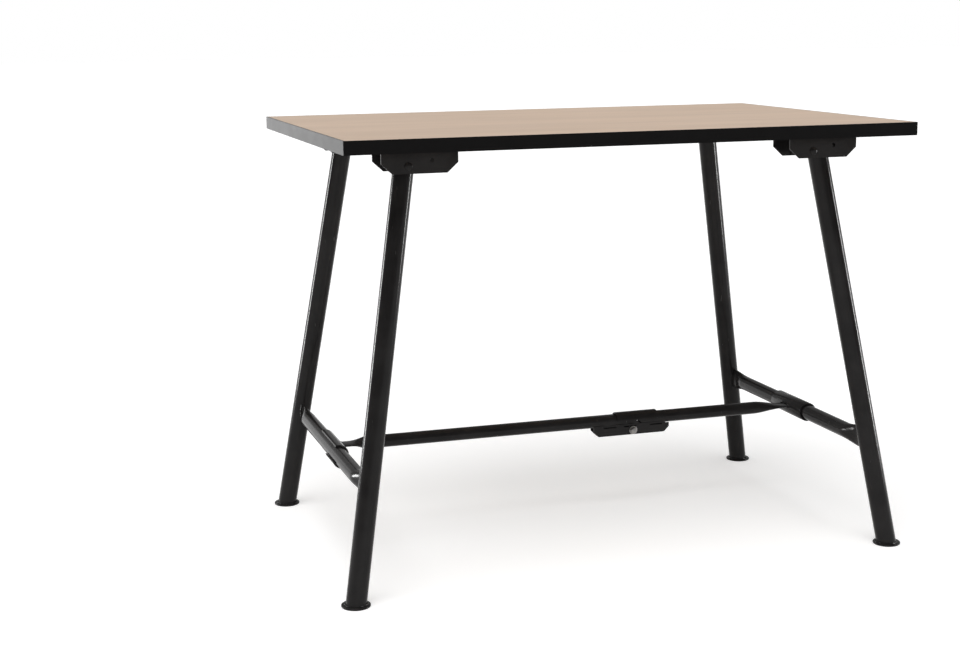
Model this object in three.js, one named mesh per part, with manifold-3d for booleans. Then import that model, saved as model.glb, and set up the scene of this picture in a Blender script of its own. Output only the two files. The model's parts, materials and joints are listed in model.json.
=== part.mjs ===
// Folding workbench: a plywood top on two folding leg frames, held open by a two-piece brace.
// Millimetres, +Z up, +X along the bench to the right, -Y to the front, floor at Z = 0.

import * as THREE from 'three';
import { mergeVertices } from 'three/addons/utils/BufferGeometryUtils.js';
import Module from 'manifold-3d';

const wasm = await Module();
wasm.setup();

// Gaps and mesh fineness
const fitGap = 0.3;
const cutOver = 20;
const roundSides = 24;
const fineSides = 32;
const screwSides = 12;
const hexSides = 6;
const taperSteps = 5;

// Bench top
const topLength = 1200;
const topDepth = 800;
const topHeight = 910;
const topThickness = 27;
const edgingThickness = 3;

// Leg tubes and feet
const legDiameter = 42;
const legWall = 2.5;
const leftLegTopInset = 153;
const rightLegTopInset = 162.5;
const legTopSetback = 135;
const legFootInset = 11;
const legFootSetback = 40;
const footDiameter = 58.5;
const footPlate = 4;
const footCollarHeight = 6;
const footCollarWall = 1.6;

// Hinge brackets under the top
const bracketLength = 154;
const bracketWidth = 75;
const bracketPlate = 3;
const bracketDrop = 47.5;
const bracketChamferLength = 22;
const bracketChamferHeight = 20;
const bracketPastPivot = 23;
const spareHoleFromPivot = 47;
const spareHoleDrop = 22;
const spareHoleDiameter = 8;

// Hinge shoes on the leg tops
const pivotDrop = 33;
const rightPivotInset = 28.5;
const shoePlate = 4;
const shoeSideGap = 0.5;
const shoeRise = 15;
const shoeTail = 14;
const swingGap = 1;

// Pivot bolts
const boltDiameter = 10;
const boltHeadDiameter = 16;
const boltHeadHeight = 3;
const nutAcross = 16;
const nutHeight = 8;
const boltTail = 4;

// Bracket screws
const screwDiameter = 4.4;
const screwLength = 20;
const screwHeadDiameter = 11;
const screwHeadHeight = 2.6;
const screwEndInset = 13;
const screwSpread = 44;

// Cross bars between the legs
const barDiameter = 34;
const barFlatHeight = 46;
const barFlatThickness = 9;
const barFlatLength = 18;
const barTaperLength = 55;
const barBelowBrace = 3;

// Brace, with its hook on the left bar and its sleeve on the right bar
const braceHeight = 230;
const braceDiameter = 28;
const braceBore = 24;
const braceFlatWidth = 42;
const braceFlatThickness = 7;
const leftFlatLength = 18;
const leftTaperLength = 40;
const rightFlatLength = 6;
const rightTaperLength = 78;
const sleeveWall = 3.7;
const sleeveGap = 0.5;
const sleeveLength = 140;
const hookLength = 140;
const hookSkirt = 7;
const heelFromBrace = 27;
const heelLength = 78;
const heelDrop = 6;

// Brace lock
const lockX = 149;
const lockEndGap = 3;
const mitreDegrees = 42;
const lockPlate = 3;
const lockSideGap = 0.5;
const saddleLength = 99;
const cradleShift = -12;
const cradleLength = 183;
const cradleWidth = 22;
const cradleDrop = 35;
const cradleChamfer = 13;
const cradleNotchLength = 12;
const cradleNotchDrop = 13.2;
const lockBoltShift = 3.5;
const lockBoltDrop = 24;
const lockBoltDiameter = 8;
const lockBoltHeadAcross = 13;
const lockBoltHeadHeight = 5.5;
const lockWasherDiameter = 19;
const lockWasherHeight = 1.6;
const lockNutHeight = 6.5;
const slotLength = 30;
const slotHeight = 2.5;
const slotPitch = 56;
const middleSlotShift = -7;
const slotDrop = 14.5;

// Heights and fits that follow from the sizes above
const underside = topHeight - topThickness;
const legTopY = topDepth / 2 - legTopSetback;
const legFootX = topLength / 2 - legFootInset;
const legFootY = topDepth / 2 - legFootSetback;
const pivotHeight = underside - pivotDrop;
const legRadius = legDiameter / 2;
const boltRadius = boltDiameter / 2;
const boltHole = boltRadius + fitGap;
const screwHole = screwDiameter / 2 + fitGap;
const swingRadius = pivotDrop - bracketPlate - swingGap;
const shoeReach = Math.sqrt(swingRadius ** 2 - shoeRise ** 2);
const shoeWidth = bracketWidth - 2 * (bracketPlate + shoeSideGap);
const legTopHeight = pivotHeight + shoeRise - shoePlate - fitGap;
const barRadius = barDiameter / 2;
const sleeveBore = barRadius + sleeveGap;
const sleeveRadius = sleeveBore + sleeveWall;
const braceRadius = braceDiameter / 2;
const barHeight = braceHeight - barBelowBrace;
const mitreSlope = Math.tan(THREE.MathUtils.degToRad(mitreDegrees));
const lockInner = braceRadius + lockSideGap;
const lockOuter = lockInner + lockPlate;
const cradleX = lockX + cradleShift;
const cradleHalf = cradleWidth / 2;
const lockBoltX = cradleX + lockBoltShift;
const lockBoltHole = lockBoltDiameter / 2 + fitGap;
const hexCorner = (across) => across / Math.sqrt(3);

// Finishes
const finish = {
  plywood: { color: 0xc9a47c, roughness: 0.55, metalness: 0 },
  edging: { color: 0x0d0d0e, roughness: 0.45, metalness: 0 },
  blackPaint: { color: 0x17171a, roughness: 0.4, metalness: 0.3 },
  zinc: { color: 0xb9bcc0, roughness: 0.35, metalness: 0.9 },
};

const bench = new THREE.Group();

// A closed three.js shape as a solid that can be joined and cut
function solidOf(geometry) {
  const bare = geometry.clone();
  bare.deleteAttribute('normal');
  bare.deleteAttribute('uv');
  const welded = mergeVertices(bare);
  return new wasm.Manifold(new wasm.Mesh({
    numProp: 3,
    vertProperties: new Float32Array(welded.attributes.position.array),
    triVerts: new Uint32Array(welded.index.array),
  }));
}

function addPiece(name, solid, look) {
  const { vertProperties, triVerts } = solid.getMesh();
  const geometry = new THREE.BufferGeometry();
  geometry.setAttribute('position', new THREE.BufferAttribute(vertProperties, 3));
  geometry.setIndex(new THREE.BufferAttribute(triVerts, 1));
  geometry.computeVertexNormals();
  const piece = new THREE.Mesh(geometry, new THREE.MeshStandardMaterial(look));
  piece.name = name;
  bench.add(piece);
}

function block(low, high) {
  const size = new THREE.Vector3().subVectors(high, low);
  const centre = new THREE.Vector3().addVectors(low, high).multiplyScalar(0.5);
  const geometry = new THREE.BoxGeometry(size.x, size.y, size.z);
  return solidOf(geometry.translate(centre.x, centre.y, centre.z));
}

function rod(start, end, radius, sides = roundSides) {
  const along = new THREE.Vector3().subVectors(end, start);
  const geometry = new THREE.CylinderGeometry(radius, radius, along.length(), sides);
  const upright = new THREE.Vector3(0, 1, 0);
  const turn = new THREE.Quaternion().setFromUnitVectors(upright, along.clone().normalize());
  const centre = new THREE.Vector3().addVectors(start, end).multiplyScalar(0.5);
  return solidOf(geometry.applyQuaternion(turn).translate(centre.x, centre.y, centre.z));
}

function rodAlongY(x, z, fromY, toY, radius, sides = roundSides) {
  return rod(new THREE.Vector3(x, fromY, z), new THREE.Vector3(x, toY, z), radius, sides);
}

function rodAlongZ(x, y, fromZ, toZ, radius, sides = roundSides) {
  return rod(new THREE.Vector3(x, y, fromZ), new THREE.Vector3(x, y, toZ), radius, sides);
}

// A side outline in X and Z, given thickness along Y
function plateAlongY(points, fromY, toY) {
  const outline = new THREE.Shape(points.map(([x, z]) => new THREE.Vector2(x, z)));
  const geometry = new THREE.ExtrudeGeometry(outline, { depth: toY - fromY, bevelEnabled: false });
  return solidOf(geometry.rotateX(Math.PI / 2).translate(0, toY, 0));
}

// A tube whose section runs through the stations [along, half width, half height]
function taperedTube(stations, basis) {
  const positions = [];
  const index = [];
  const ringCount = stations.length;
  for (const [along, halfWidth, halfHeight] of stations) {
    for (let side = 0; side < roundSides; side++) {
      const angle = (2 * Math.PI * side) / roundSides;
      positions.push(halfWidth * Math.cos(angle), halfHeight * Math.sin(angle), along);
    }
  }
  const startCentre = ringCount * roundSides;
  const endCentre = startCentre + 1;
  positions.push(0, 0, stations[0][0], 0, 0, stations[ringCount - 1][0]);
  for (let side = 0; side < roundSides; side++) {
    const next = (side + 1) % roundSides;
    for (let ring = 0; ring < ringCount - 1; ring++) {
      const here = ring * roundSides;
      const there = here + roundSides;
      index.push(here + side, here + next, there + next);
      index.push(here + side, there + next, there + side);
    }
    const last = (ringCount - 1) * roundSides;
    index.push(startCentre, next, side);
    index.push(endCentre, last + side, last + next);
  }
  const geometry = new THREE.BufferGeometry();
  geometry.setAttribute('position', new THREE.Float32BufferAttribute(positions, 3));
  geometry.setIndex(index);
  return solidOf(geometry.applyMatrix4(basis));
}

// Stations of a round tube end that is pressed flat: flat first, then a smooth swell to round
function flattenedEnd(from, direction, flat, taper, halfFlat, radius) {
  const stations = [[from, ...halfFlat]];
  for (let step = 0; step <= taperSteps; step++) {
    const share = step / taperSteps;
    const blend = share * share * (3 - 2 * share);
    stations.push([
      from + direction * (flat + taper * share),
      halfFlat[0] + (radius - halfFlat[0]) * blend,
      halfFlat[1] + (radius - halfFlat[1]) * blend,
    ]);
  }
  return stations;
}

// The centre line of a leg, splayed to the end and to the side
function legPoint(frame, front, height) {
  const share = (underside - height) / underside;
  const x = frame.topX + (legFootX - frame.topX) * share;
  const y = legTopY + (legFootY - legTopY) * share;
  return new THREE.Vector3(frame.side * x, front * y, height);
}

const leftFrame = {
  name: 'left',
  side: -1,
  topX: topLength / 2 - leftLegTopInset,
  pivotInset: 0,
  flatLength: leftFlatLength,
  taperLength: leftTaperLength,
};
const rightFrame = {
  name: 'right',
  side: 1,
  topX: topLength / 2 - rightLegTopInset,
  pivotInset: rightPivotInset,
  flatLength: rightFlatLength,
  taperLength: rightTaperLength,
};
const frames = [leftFrame, rightFrame];
const rows = [{ name: 'front', sign: -1 }, { name: 'back', sign: 1 }];
for (const frame of frames) {
  const legAtPivot = legPoint(frame, 1, pivotHeight);
  frame.legX = legAtPivot.x;
  frame.pivotX = legAtPivot.x - frame.side * frame.pivotInset;
  frame.pivotY = legAtPivot.y;
  frame.barX = legPoint(frame, 1, barHeight).x;
}

// Where the four screws of one bracket stand
function screwPlaces(frame, row) {
  const centreX = frame.pivotX + bracketPastPivot;
  const reachX = bracketLength / 2 - screwEndInset;
  const places = [];
  for (const endSign of [-1, 1]) {
    for (const sideSign of [-1, 1]) {
      places.push([centreX + endSign * reachX, row.sign * frame.pivotY + (sideSign * screwSpread) / 2]);
    }
  }
  return places;
}

// Plywood panel with its screw holes
function makePanel() {
  const half = new THREE.Vector2(topLength / 2, topDepth / 2).subScalar(edgingThickness + fitGap);
  const low = new THREE.Vector3(-half.x, -half.y, underside);
  const high = new THREE.Vector3(half.x, half.y, topHeight);
  let panel = block(low, high);
  const holeDepth = screwLength - bracketPlate + fitGap;
  for (const frame of frames) {
    for (const row of rows) {
      for (const [x, y] of screwPlaces(frame, row)) {
        const hole = rodAlongZ(x, y, underside - cutOver, underside + holeDepth, screwHole, screwSides);
        panel = panel.subtract(hole);
      }
    }
  }
  addPiece('top_panel', panel, finish.plywood);
}

// Black edging, the long strips over the ends of the short ones
function makeEdging() {
  const halfLength = topLength / 2;
  const halfDepth = topDepth / 2;
  const inner = edgingThickness;
  for (const row of rows) {
    const outerY = row.sign * halfDepth;
    const innerY = row.sign * (halfDepth - inner);
    const low = new THREE.Vector3(-halfLength, Math.min(outerY, innerY), underside);
    const high = new THREE.Vector3(halfLength, Math.max(outerY, innerY), topHeight);
    addPiece(`${row.name}_edging`, block(low, high), finish.edging);
  }
  const shortHalf = halfDepth - inner - fitGap;
  for (const frame of frames) {
    const outerX = frame.side * halfLength;
    const innerX = frame.side * (halfLength - inner);
    const low = new THREE.Vector3(Math.min(outerX, innerX), -shortHalf, underside);
    const high = new THREE.Vector3(Math.max(outerX, innerX), shortHalf, topHeight);
    addPiece(`${frame.name}_edging`, block(low, high), finish.edging);
  }
}

// Folded steel bracket: a base under the top and two cheeks with cut corners
function makeBracket(frame, row) {
  const centreY = row.sign * frame.pivotY;
  const lowX = frame.pivotX + bracketPastPivot - bracketLength / 2;
  const highX = lowX + bracketLength;
  const top = underside - fitGap;
  const bottom = underside - bracketDrop;
  const outline = [
    [lowX, top],
    [lowX, bottom + bracketChamferHeight],
    [lowX + bracketChamferLength, bottom],
    [highX - bracketChamferLength, bottom],
    [highX, bottom + bracketChamferHeight],
    [highX, top],
  ];
  const halfWidth = bracketWidth / 2;
  const halfInner = halfWidth - bracketPlate;
  let bracket = plateAlongY(outline, centreY - halfWidth, centreY + halfWidth);
  const hollowLow = new THREE.Vector3(lowX - cutOver, centreY - halfInner, bottom - cutOver);
  const hollowHigh = new THREE.Vector3(highX + cutOver, centreY + halfInner, underside - bracketPlate);
  bracket = bracket.subtract(block(hollowLow, hollowHigh));
  const cutLow = centreY - bracketWidth;
  const cutHigh = centreY + bracketWidth;
  bracket = bracket.subtract(rodAlongY(frame.pivotX, pivotHeight, cutLow, cutHigh, boltHole));
  const spareX = frame.pivotX + spareHoleFromPivot;
  const spareZ = underside - spareHoleDrop;
  const spareRadius = spareHoleDiameter / 2;
  bracket = bracket.subtract(rodAlongY(spareX, spareZ, cutLow, cutHigh, spareRadius, screwSides));
  for (const [x, y] of screwPlaces(frame, row)) {
    const hole = rodAlongZ(x, y, bottom, underside + cutOver, screwHole, screwSides);
    bracket = bracket.subtract(hole);
  }
  addPiece(`${frame.name}_${row.name}_bracket`, bracket, finish.blackPaint);
}

// Pan-head screws that hold a bracket to the panel
function makeScrews(frame, row) {
  screwPlaces(frame, row).forEach(([x, y], place) => {
    const seat = underside - bracketPlate - fitGap;
    const shankFrom = seat - screwHeadHeight / 2;
    const shank = rodAlongZ(x, y, shankFrom, seat + screwLength, screwDiameter / 2, screwSides);
    const head = rodAlongZ(x, y, seat - screwHeadHeight, seat, screwHeadDiameter / 2, screwSides);
    addPiece(`${frame.name}_${row.name}_bracket_screw_${place + 1}`, head.add(shank), finish.zinc);
  });
}

// Low round-headed pivot bolt through the bracket, and its nut, headed on the outer cheek
function makePivotBolt(frame, row) {
  const seat = row.sign * (frame.pivotY + bracketWidth / 2 + fitGap);
  const nutSeat = row.sign * (frame.pivotY - bracketWidth / 2 - fitGap);
  const nutEnd = nutSeat - row.sign * nutHeight;
  const tail = nutEnd - row.sign * boltTail;
  const x = frame.pivotX;
  const headEnd = seat + row.sign * boltHeadHeight;
  const head = rodAlongY(x, pivotHeight, seat, headEnd, boltHeadDiameter / 2);
  const shank = rodAlongY(x, pivotHeight, seat + (row.sign * boltHeadHeight) / 2, tail, boltRadius);
  addPiece(`${frame.name}_${row.name}_pivot_bolt`, head.add(shank), finish.blackPaint);
  const nutBody = rodAlongY(x, pivotHeight, nutSeat, nutEnd, hexCorner(nutAcross), hexSides);
  const thread = rodAlongY(x, pivotHeight, nutSeat + row.sign * cutOver, tail, boltHole);
  addPiece(`${frame.name}_${row.name}_pivot_nut`, nutBody.subtract(thread), finish.blackPaint);
}

// The clear way for a pivot bolt, through a shoe and its leg
function pivotCut(frame, row) {
  const centreY = row.sign * frame.pivotY;
  return rodAlongY(frame.pivotX, pivotHeight, centreY - bracketWidth, centreY + bracketWidth, boltHole);
}

// Hinge shoe: the plate on the leg's end with two ears for the pivot bolt
function makeShoe(frame, row) {
  const centreY = row.sign * frame.pivotY;
  const lowX = Math.min(frame.legX - shoeReach, frame.pivotX - shoeTail);
  const highX = Math.max(frame.legX + shoeReach, frame.pivotX + shoeTail);
  const halfWidth = shoeWidth / 2;
  const low = new THREE.Vector3(lowX, centreY - halfWidth, pivotHeight - shoeTail);
  const high = new THREE.Vector3(highX, centreY + halfWidth, pivotHeight + shoeRise);
  const halfInner = halfWidth - shoePlate;
  const hollowLow = new THREE.Vector3(lowX - cutOver, centreY - halfInner, low.z - cutOver);
  const hollowHigh = new THREE.Vector3(highX + cutOver, centreY + halfInner, high.z - shoePlate);
  const shoe = block(low, high).subtract(block(hollowLow, hollowHigh)).subtract(pivotCut(frame, row));
  addPiece(`${frame.name}_${row.name}_hinge_shoe`, shoe, finish.blackPaint);
}

function legRod(frame, row, radius) {
  const start = legPoint(frame, row.sign, -cutOver);
  const end = legPoint(frame, row.sign, legTopHeight + cutOver);
  return rod(start, end, radius, fineSides);
}

// Leg tube, cut level at the foot and under the shoe
function makeLeg(frame, row) {
  const reach = topLength;
  const slabLow = new THREE.Vector3(-reach, -reach, footPlate + fitGap);
  const slabHigh = new THREE.Vector3(reach, reach, legTopHeight);
  let leg = legRod(frame, row, legRadius).subtract(legRod(frame, row, legRadius - legWall));
  leg = leg.intersect(block(slabLow, slabHigh)).subtract(pivotCut(frame, row));
  addPiece(`${frame.name}_${row.name}_leg`, leg, finish.blackPaint);
}

// Round steel foot: a plate with a low collar about the leg's end
function makeFoot(frame, row) {
  const centre = legPoint(frame, row.sign, 0);
  const collarRadius = legRadius + fitGap + footCollarWall;
  const plate = rodAlongZ(centre.x, centre.y, 0, footPlate, footDiameter / 2, fineSides);
  const collar = rodAlongZ(centre.x, centre.y, footPlate / 2, footCollarHeight, collarRadius, fineSides);
  const reach = topLength;
  const aboveLow = new THREE.Vector3(-reach, -reach, footPlate);
  const aboveHigh = new THREE.Vector3(reach, reach, topHeight);
  const socket = legRod(frame, row, legRadius + fitGap).intersect(block(aboveLow, aboveHigh));
  addPiece(`${frame.name}_${row.name}_foot`, plate.add(collar).subtract(socket), finish.blackPaint);
}

// Cross bar with its ends pressed to upright blades against the legs
function makeCrossBar(frame) {
  const end = legPoint(frame, 1, barHeight).y;
  const blade = [barFlatThickness / 2, barFlatHeight / 2];
  const flat = legRadius + barFlatLength;
  const stations = [
    ...flattenedEnd(-end, 1, flat, barTaperLength, blade, barRadius),
    ...flattenedEnd(end, -1, flat, barTaperLength, blade, barRadius).reverse(),
  ];
  const basis = new THREE.Matrix4().makeBasis(
    new THREE.Vector3(1, 0, 0), new THREE.Vector3(0, 0, 1), new THREE.Vector3(0, -1, 0));
  basis.setPosition(frame.barX, 0, barHeight);
  let bar = taperedTube(stations, basis);
  for (const row of rows) {
    bar = bar.subtract(legRod(frame, row, legRadius + fitGap));
  }
  addPiece(`${frame.name}_cross_bar`, bar, finish.blackPaint);
}

// A round bar on a cross bar's own axis
function sleeveRod(frame, radius, length) {
  return rodAlongY(frame.barX, barHeight, -length / 2, length / 2, radius, fineSides);
}

function sleeveTube(frame, length) {
  return sleeveRod(frame, sleeveRadius, length).subtract(sleeveRod(frame, sleeveBore, length + cutOver));
}

// Sleeve that turns on the right cross bar and carries the short brace half
function makeSleeve() {
  addPiece('right_brace_sleeve', sleeveTube(rightFrame, sleeveLength), finish.blackPaint);
}

// Hook that carries the long brace half: a jaw open to the outside, and a heel under the bar
function makeHook() {
  const reach = sleeveRadius + cutOver;
  const openLow = new THREE.Vector3(leftFrame.barX - reach, -hookLength, barHeight - reach);
  const openHigh = new THREE.Vector3(leftFrame.barX - hookSkirt, hookLength, barHeight + reach);
  const jaw = sleeveTube(leftFrame, hookLength).subtract(block(openLow, openHigh));
  const heelEnd = heelFromBrace + heelLength;
  const heelLow = new THREE.Vector3(leftFrame.barX - reach, -heelEnd, barHeight - reach);
  const heelHigh = new THREE.Vector3(leftFrame.barX + reach, -heelFromBrace, barHeight - heelDrop);
  const heel = sleeveTube(leftFrame, 2 * heelEnd).intersect(block(heelLow, heelHigh));
  addPiece('left_brace_hook', jaw.add(heel), finish.blackPaint);
}

// What the mitre takes off one tube end, so that the two slanted ends part when the brace folds
function mitreCut(frame) {
  const rise = braceRadius + cutOver;
  const run = rise / mitreSlope;
  const faceX = lockX + (frame.side * lockEndGap) / 2;
  const farX = faceX - frame.side * (2 * run + cutOver);
  const outline = [
    [faceX + run, braceHeight - rise],
    [faceX - run, braceHeight + rise],
    [farX, braceHeight + rise],
    [farX, braceHeight - rise],
  ];
  return plateAlongY(outline, -rise, rise);
}

// Brace tube: pressed flat against its hook or sleeve, open and mitred at the lock
function makeBraceTube(frame) {
  const start = frame.barX;
  const end = lockX - frame.side * (braceRadius / mitreSlope + cutOver);
  const flat = [braceFlatWidth / 2, braceFlatThickness / 2];
  const flatRun = sleeveRadius + frame.flatLength;
  const stations = flattenedEnd(start, -frame.side, flatRun, frame.taperLength, flat, braceRadius);
  stations.push([end, braceRadius, braceRadius]);
  if (frame.side > 0) {
    stations.reverse();
  }
  const basis = new THREE.Matrix4().makeBasis(
    new THREE.Vector3(0, 1, 0), new THREE.Vector3(0, 0, 1), new THREE.Vector3(1, 0, 0));
  basis.setPosition(0, 0, braceHeight);
  const mouth = new THREE.Vector3(end - frame.side * cutOver, 0, braceHeight);
  const boreFloor = start - frame.side * (flatRun + frame.taperLength);
  const boreEnd = new THREE.Vector3(boreFloor, 0, braceHeight);
  const tube = taperedTube(stations, basis)
    .subtract(sleeveRod(frame, sleeveRadius + fitGap, hookLength))
    .subtract(rod(mouth, boreEnd, braceBore / 2))
    .subtract(mitreCut(frame));
  addPiece(`${frame.name}_brace_tube`, tube, finish.blackPaint);
}

function rodAlongX(fromX, toX, radius) {
  const start = new THREE.Vector3(fromX, 0, braceHeight);
  const end = new THREE.Vector3(toX, 0, braceHeight);
  return rod(start, end, radius, fineSides);
}

// Half-round saddle on the short brace half, over both tube ends
function makeLockSaddle() {
  const lowX = lockX - saddleLength / 2;
  const highX = lockX + saddleLength / 2;
  const reach = lockOuter + cutOver;
  const belowLow = new THREE.Vector3(lowX - cutOver, -reach, braceHeight - reach);
  const belowHigh = new THREE.Vector3(highX + cutOver, reach, braceHeight + fitGap);
  const saddle = rodAlongX(lowX, highX, lockOuter)
    .subtract(rodAlongX(lowX - cutOver, highX + cutOver, lockInner))
    .subtract(block(belowLow, belowHigh));
  addPiece('brace_lock_saddle', saddle, finish.blackPaint);
}

// Folded cradle on the long brace half, under both tube ends, slotted in its front cheek
function makeLockCradle() {
  const lowX = cradleX - cradleLength / 2;
  const highX = cradleX + cradleLength / 2;
  const bottom = braceHeight - cradleDrop;
  const notchX = highX - cradleNotchLength;
  const notchZ = braceHeight - cradleNotchDrop;
  const outline = [
    [lowX, braceHeight],
    [lowX, bottom + cradleChamfer],
    [lowX + cradleChamfer, bottom],
    [highX - cradleChamfer, bottom],
    [highX, bottom + cradleChamfer],
    [highX, notchZ],
    [notchX, notchZ],
    [notchX, braceHeight],
  ];
  const halfInner = cradleHalf - lockPlate;
  const hollowLow = new THREE.Vector3(lowX - cutOver, -halfInner, bottom + lockPlate);
  const hollowHigh = new THREE.Vector3(highX + cutOver, halfInner, braceHeight + cutOver);
  const reach = cradleHalf + cutOver;
  const boltCut = rodAlongY(lockBoltX, braceHeight - lockBoltDrop, -reach, reach, lockBoltHole);
  let cradle = plateAlongY(outline, -cradleHalf, cradleHalf);
  cradle = cradle.subtract(block(hollowLow, hollowHigh)).subtract(boltCut);
  cradle = cradle.subtract(rodAlongX(lowX - cutOver, highX + cutOver, braceRadius + fitGap));
  const slotMiddle = braceHeight - slotDrop;
  for (const shift of [-slotPitch, middleSlotShift, slotPitch]) {
    const slotX = lockBoltX + shift;
    const slotLow = new THREE.Vector3(slotX - slotLength / 2, -reach, slotMiddle - slotHeight / 2);
    const slotHigh = new THREE.Vector3(slotX + slotLength / 2, 0, slotMiddle + slotHeight / 2);
    cradle = cradle.subtract(block(slotLow, slotHigh));
  }
  addPiece('brace_lock_cradle', cradle, finish.blackPaint);
}

// Zinc lock bolt with its washer, and the nut behind
function makeLockBolt() {
  const x = lockBoltX;
  const z = braceHeight - lockBoltDrop;
  const seat = -cradleHalf - fitGap;
  const nutSeat = cradleHalf + fitGap;
  const tail = nutSeat + lockNutHeight + boltTail;
  const corner = hexCorner(lockBoltHeadAcross);
  const washer = rodAlongY(x, z, seat, seat - lockWasherHeight, lockWasherDiameter / 2);
  const headFrom = seat - lockWasherHeight / 2;
  const headEnd = seat - lockWasherHeight - lockBoltHeadHeight;
  const head = rodAlongY(x, z, headFrom, headEnd, corner, hexSides);
  const shank = rodAlongY(x, z, headFrom, tail, lockBoltDiameter / 2);
  addPiece('brace_lock_bolt', washer.add(head).add(shank), finish.zinc);
  const nut = rodAlongY(x, z, nutSeat, nutSeat + lockNutHeight, corner, hexSides);
  const thread = rodAlongY(x, z, -cradleHalf, tail, lockBoltHole);
  addPiece('brace_lock_nut', nut.subtract(thread), finish.zinc);
}

makePanel();
makeEdging();
for (const frame of frames) {
  for (const row of rows) {
    makeBracket(frame, row);
    makeScrews(frame, row);
    makePivotBolt(frame, row);
    makeShoe(frame, row);
    makeLeg(frame, row);
    makeFoot(frame, row);
  }
  makeCrossBar(frame);
  makeBraceTube(frame);
}
makeHook();
makeSleeve();
makeLockSaddle();
makeLockCradle();
makeLockBolt();

export default bench;
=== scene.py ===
# %% [markdown]
# # A folding workbench
# The bench is a plywood top on two folding leg frames, with a brace between them.
# The measured solids come first and are never moved. Each step after that lays a finer
# piece over one of them, or gives the solid a finish, and the last steps light it.

# %% Load the measured frame
import json
import math

import bmesh
import bpy
from mathutils import Matrix, Vector


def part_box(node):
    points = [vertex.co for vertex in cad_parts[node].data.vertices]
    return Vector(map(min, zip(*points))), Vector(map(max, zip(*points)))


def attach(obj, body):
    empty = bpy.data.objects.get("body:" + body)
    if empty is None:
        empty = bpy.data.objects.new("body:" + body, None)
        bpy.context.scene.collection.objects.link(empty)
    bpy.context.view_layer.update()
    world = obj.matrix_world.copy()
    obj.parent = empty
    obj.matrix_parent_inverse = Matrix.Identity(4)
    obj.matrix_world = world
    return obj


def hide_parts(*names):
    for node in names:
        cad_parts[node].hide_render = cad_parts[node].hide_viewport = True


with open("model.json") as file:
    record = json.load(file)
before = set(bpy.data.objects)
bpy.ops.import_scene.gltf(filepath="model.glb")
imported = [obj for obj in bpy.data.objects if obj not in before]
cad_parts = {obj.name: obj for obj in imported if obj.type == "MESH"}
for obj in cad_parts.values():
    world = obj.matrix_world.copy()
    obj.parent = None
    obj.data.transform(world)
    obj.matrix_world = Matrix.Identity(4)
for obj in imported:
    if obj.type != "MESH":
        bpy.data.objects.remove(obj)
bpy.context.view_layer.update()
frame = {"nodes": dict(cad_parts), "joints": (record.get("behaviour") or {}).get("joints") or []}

# %% [markdown]
# ## Where things stand
# A bench maker sets out from the top and the hinge lines, so the faces of the panel are
# read from its solid, and the pivots and bar centres from the frame's joints. Only the
# splay of the legs is written again here. One small function then gives the centre of
# any leg at any height, and every piece that meets a leg asks that function instead of
# carrying its own numbers.

# %% Set out the legs and hinge lines
MM = 0.001
LENGTHWISE = Vector((1, 0, 0))
DEPTHWISE = Vector((0, 1, 0))
UPRIGHT = Vector((0, 0, 1))
LEG_RADIUS = 21 * MM
ENDS = {"left": -1, "right": 1}
ROWS = {"front": -1, "back": 1}
LEG_HEAD = {"left": Vector((447, 265)) * MM, "right": Vector((437.5, 265)) * MM}
LEG_FOOT = Vector((589, 360)) * MM
panel_low, panel_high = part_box("top_panel")
UNDERSIDE, TOP_LEVEL = panel_low.z, panel_high.z
hinge = {joint["name"]: Vector(joint["pos_m"]) for joint in frame["joints"]}
pivot = {end: hinge[f"{end}_leg_fold"] for end in ENDS}
bar = {end: hinge[f"{end}_brace_swing"] for end in ENDS}


def leg_centre(end, row, height):
    share = (UNDERSIDE - height) / UNDERSIDE
    spot = LEG_HEAD[end].lerp(LEG_FOOT, share)
    return Vector((ENDS[end] * spot.x, ROWS[row] * spot.y, height))


def leg_along(end, row):
    return (leg_centre(end, row, 0) - leg_centre(end, row, UNDERSIDE)).normalized()


for end in ENDS:
    print(end, "pivot", [round(v, 4) for v in pivot[end]], "bar", [round(v, 4) for v in bar[end]])

# %% [markdown]
# ## Starting a finish
# Every finish is a node material. Colour, roughness and bump vary over the surface, so
# they come from textures in the object's own coordinates, which stay on the piece when
# it folds. A value that is the same all over goes straight on the shader's socket.

# %% Helpers that start a finish
finishes = {}


def start_finish(slot):
    finish = bpy.data.materials.new(slot + "_finish")
    finish.use_nodes = True
    finishes[slot] = finish
    tree = finish.node_tree
    return tree, tree.nodes["Principled BSDF"]


def add_node(tree, kind, **settings):
    node = tree.nodes.new(kind)
    for name, value in settings.items():
        setattr(node, name, value)
    return node


def stretched(tree, coords, stretch):
    mapping = add_node(tree, "ShaderNodeMapping")
    mapping.inputs["Scale"].default_value = stretch
    tree.links.new(coords, mapping.inputs["Vector"])
    return mapping.outputs["Vector"]


def stretched_coords(tree, stretch=(1.0, 1.0, 1.0)):
    place = add_node(tree, "ShaderNodeTexCoord")
    return stretched(tree, place.outputs["Object"], stretch)


print("a finish can start")

# %% [markdown]
# The other helpers each add one texture or one mixing step and hand back its output, so
# a finish reads as a few lines, one for each layer. A node tree built by hand in the
# editor would look the same, but it could not be read from top to bottom. A ramp has two
# stops, each a place on the incoming value and the grey or colour that it gives there.

# %% Helpers for textures and mixing
MIX_FIRST, MIX_SECOND, MIX_RESULT = 6, 7, 2  # the colour sockets of a mix node


def noise_node(tree, coords, scale, detail, roughness=0.5):
    node = add_node(tree, "ShaderNodeTexNoise")
    node.inputs["Scale"].default_value = scale
    node.inputs["Detail"].default_value = detail
    node.inputs["Roughness"].default_value = roughness
    tree.links.new(coords, node.inputs["Vector"])
    return node.outputs["Fac"]


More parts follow.
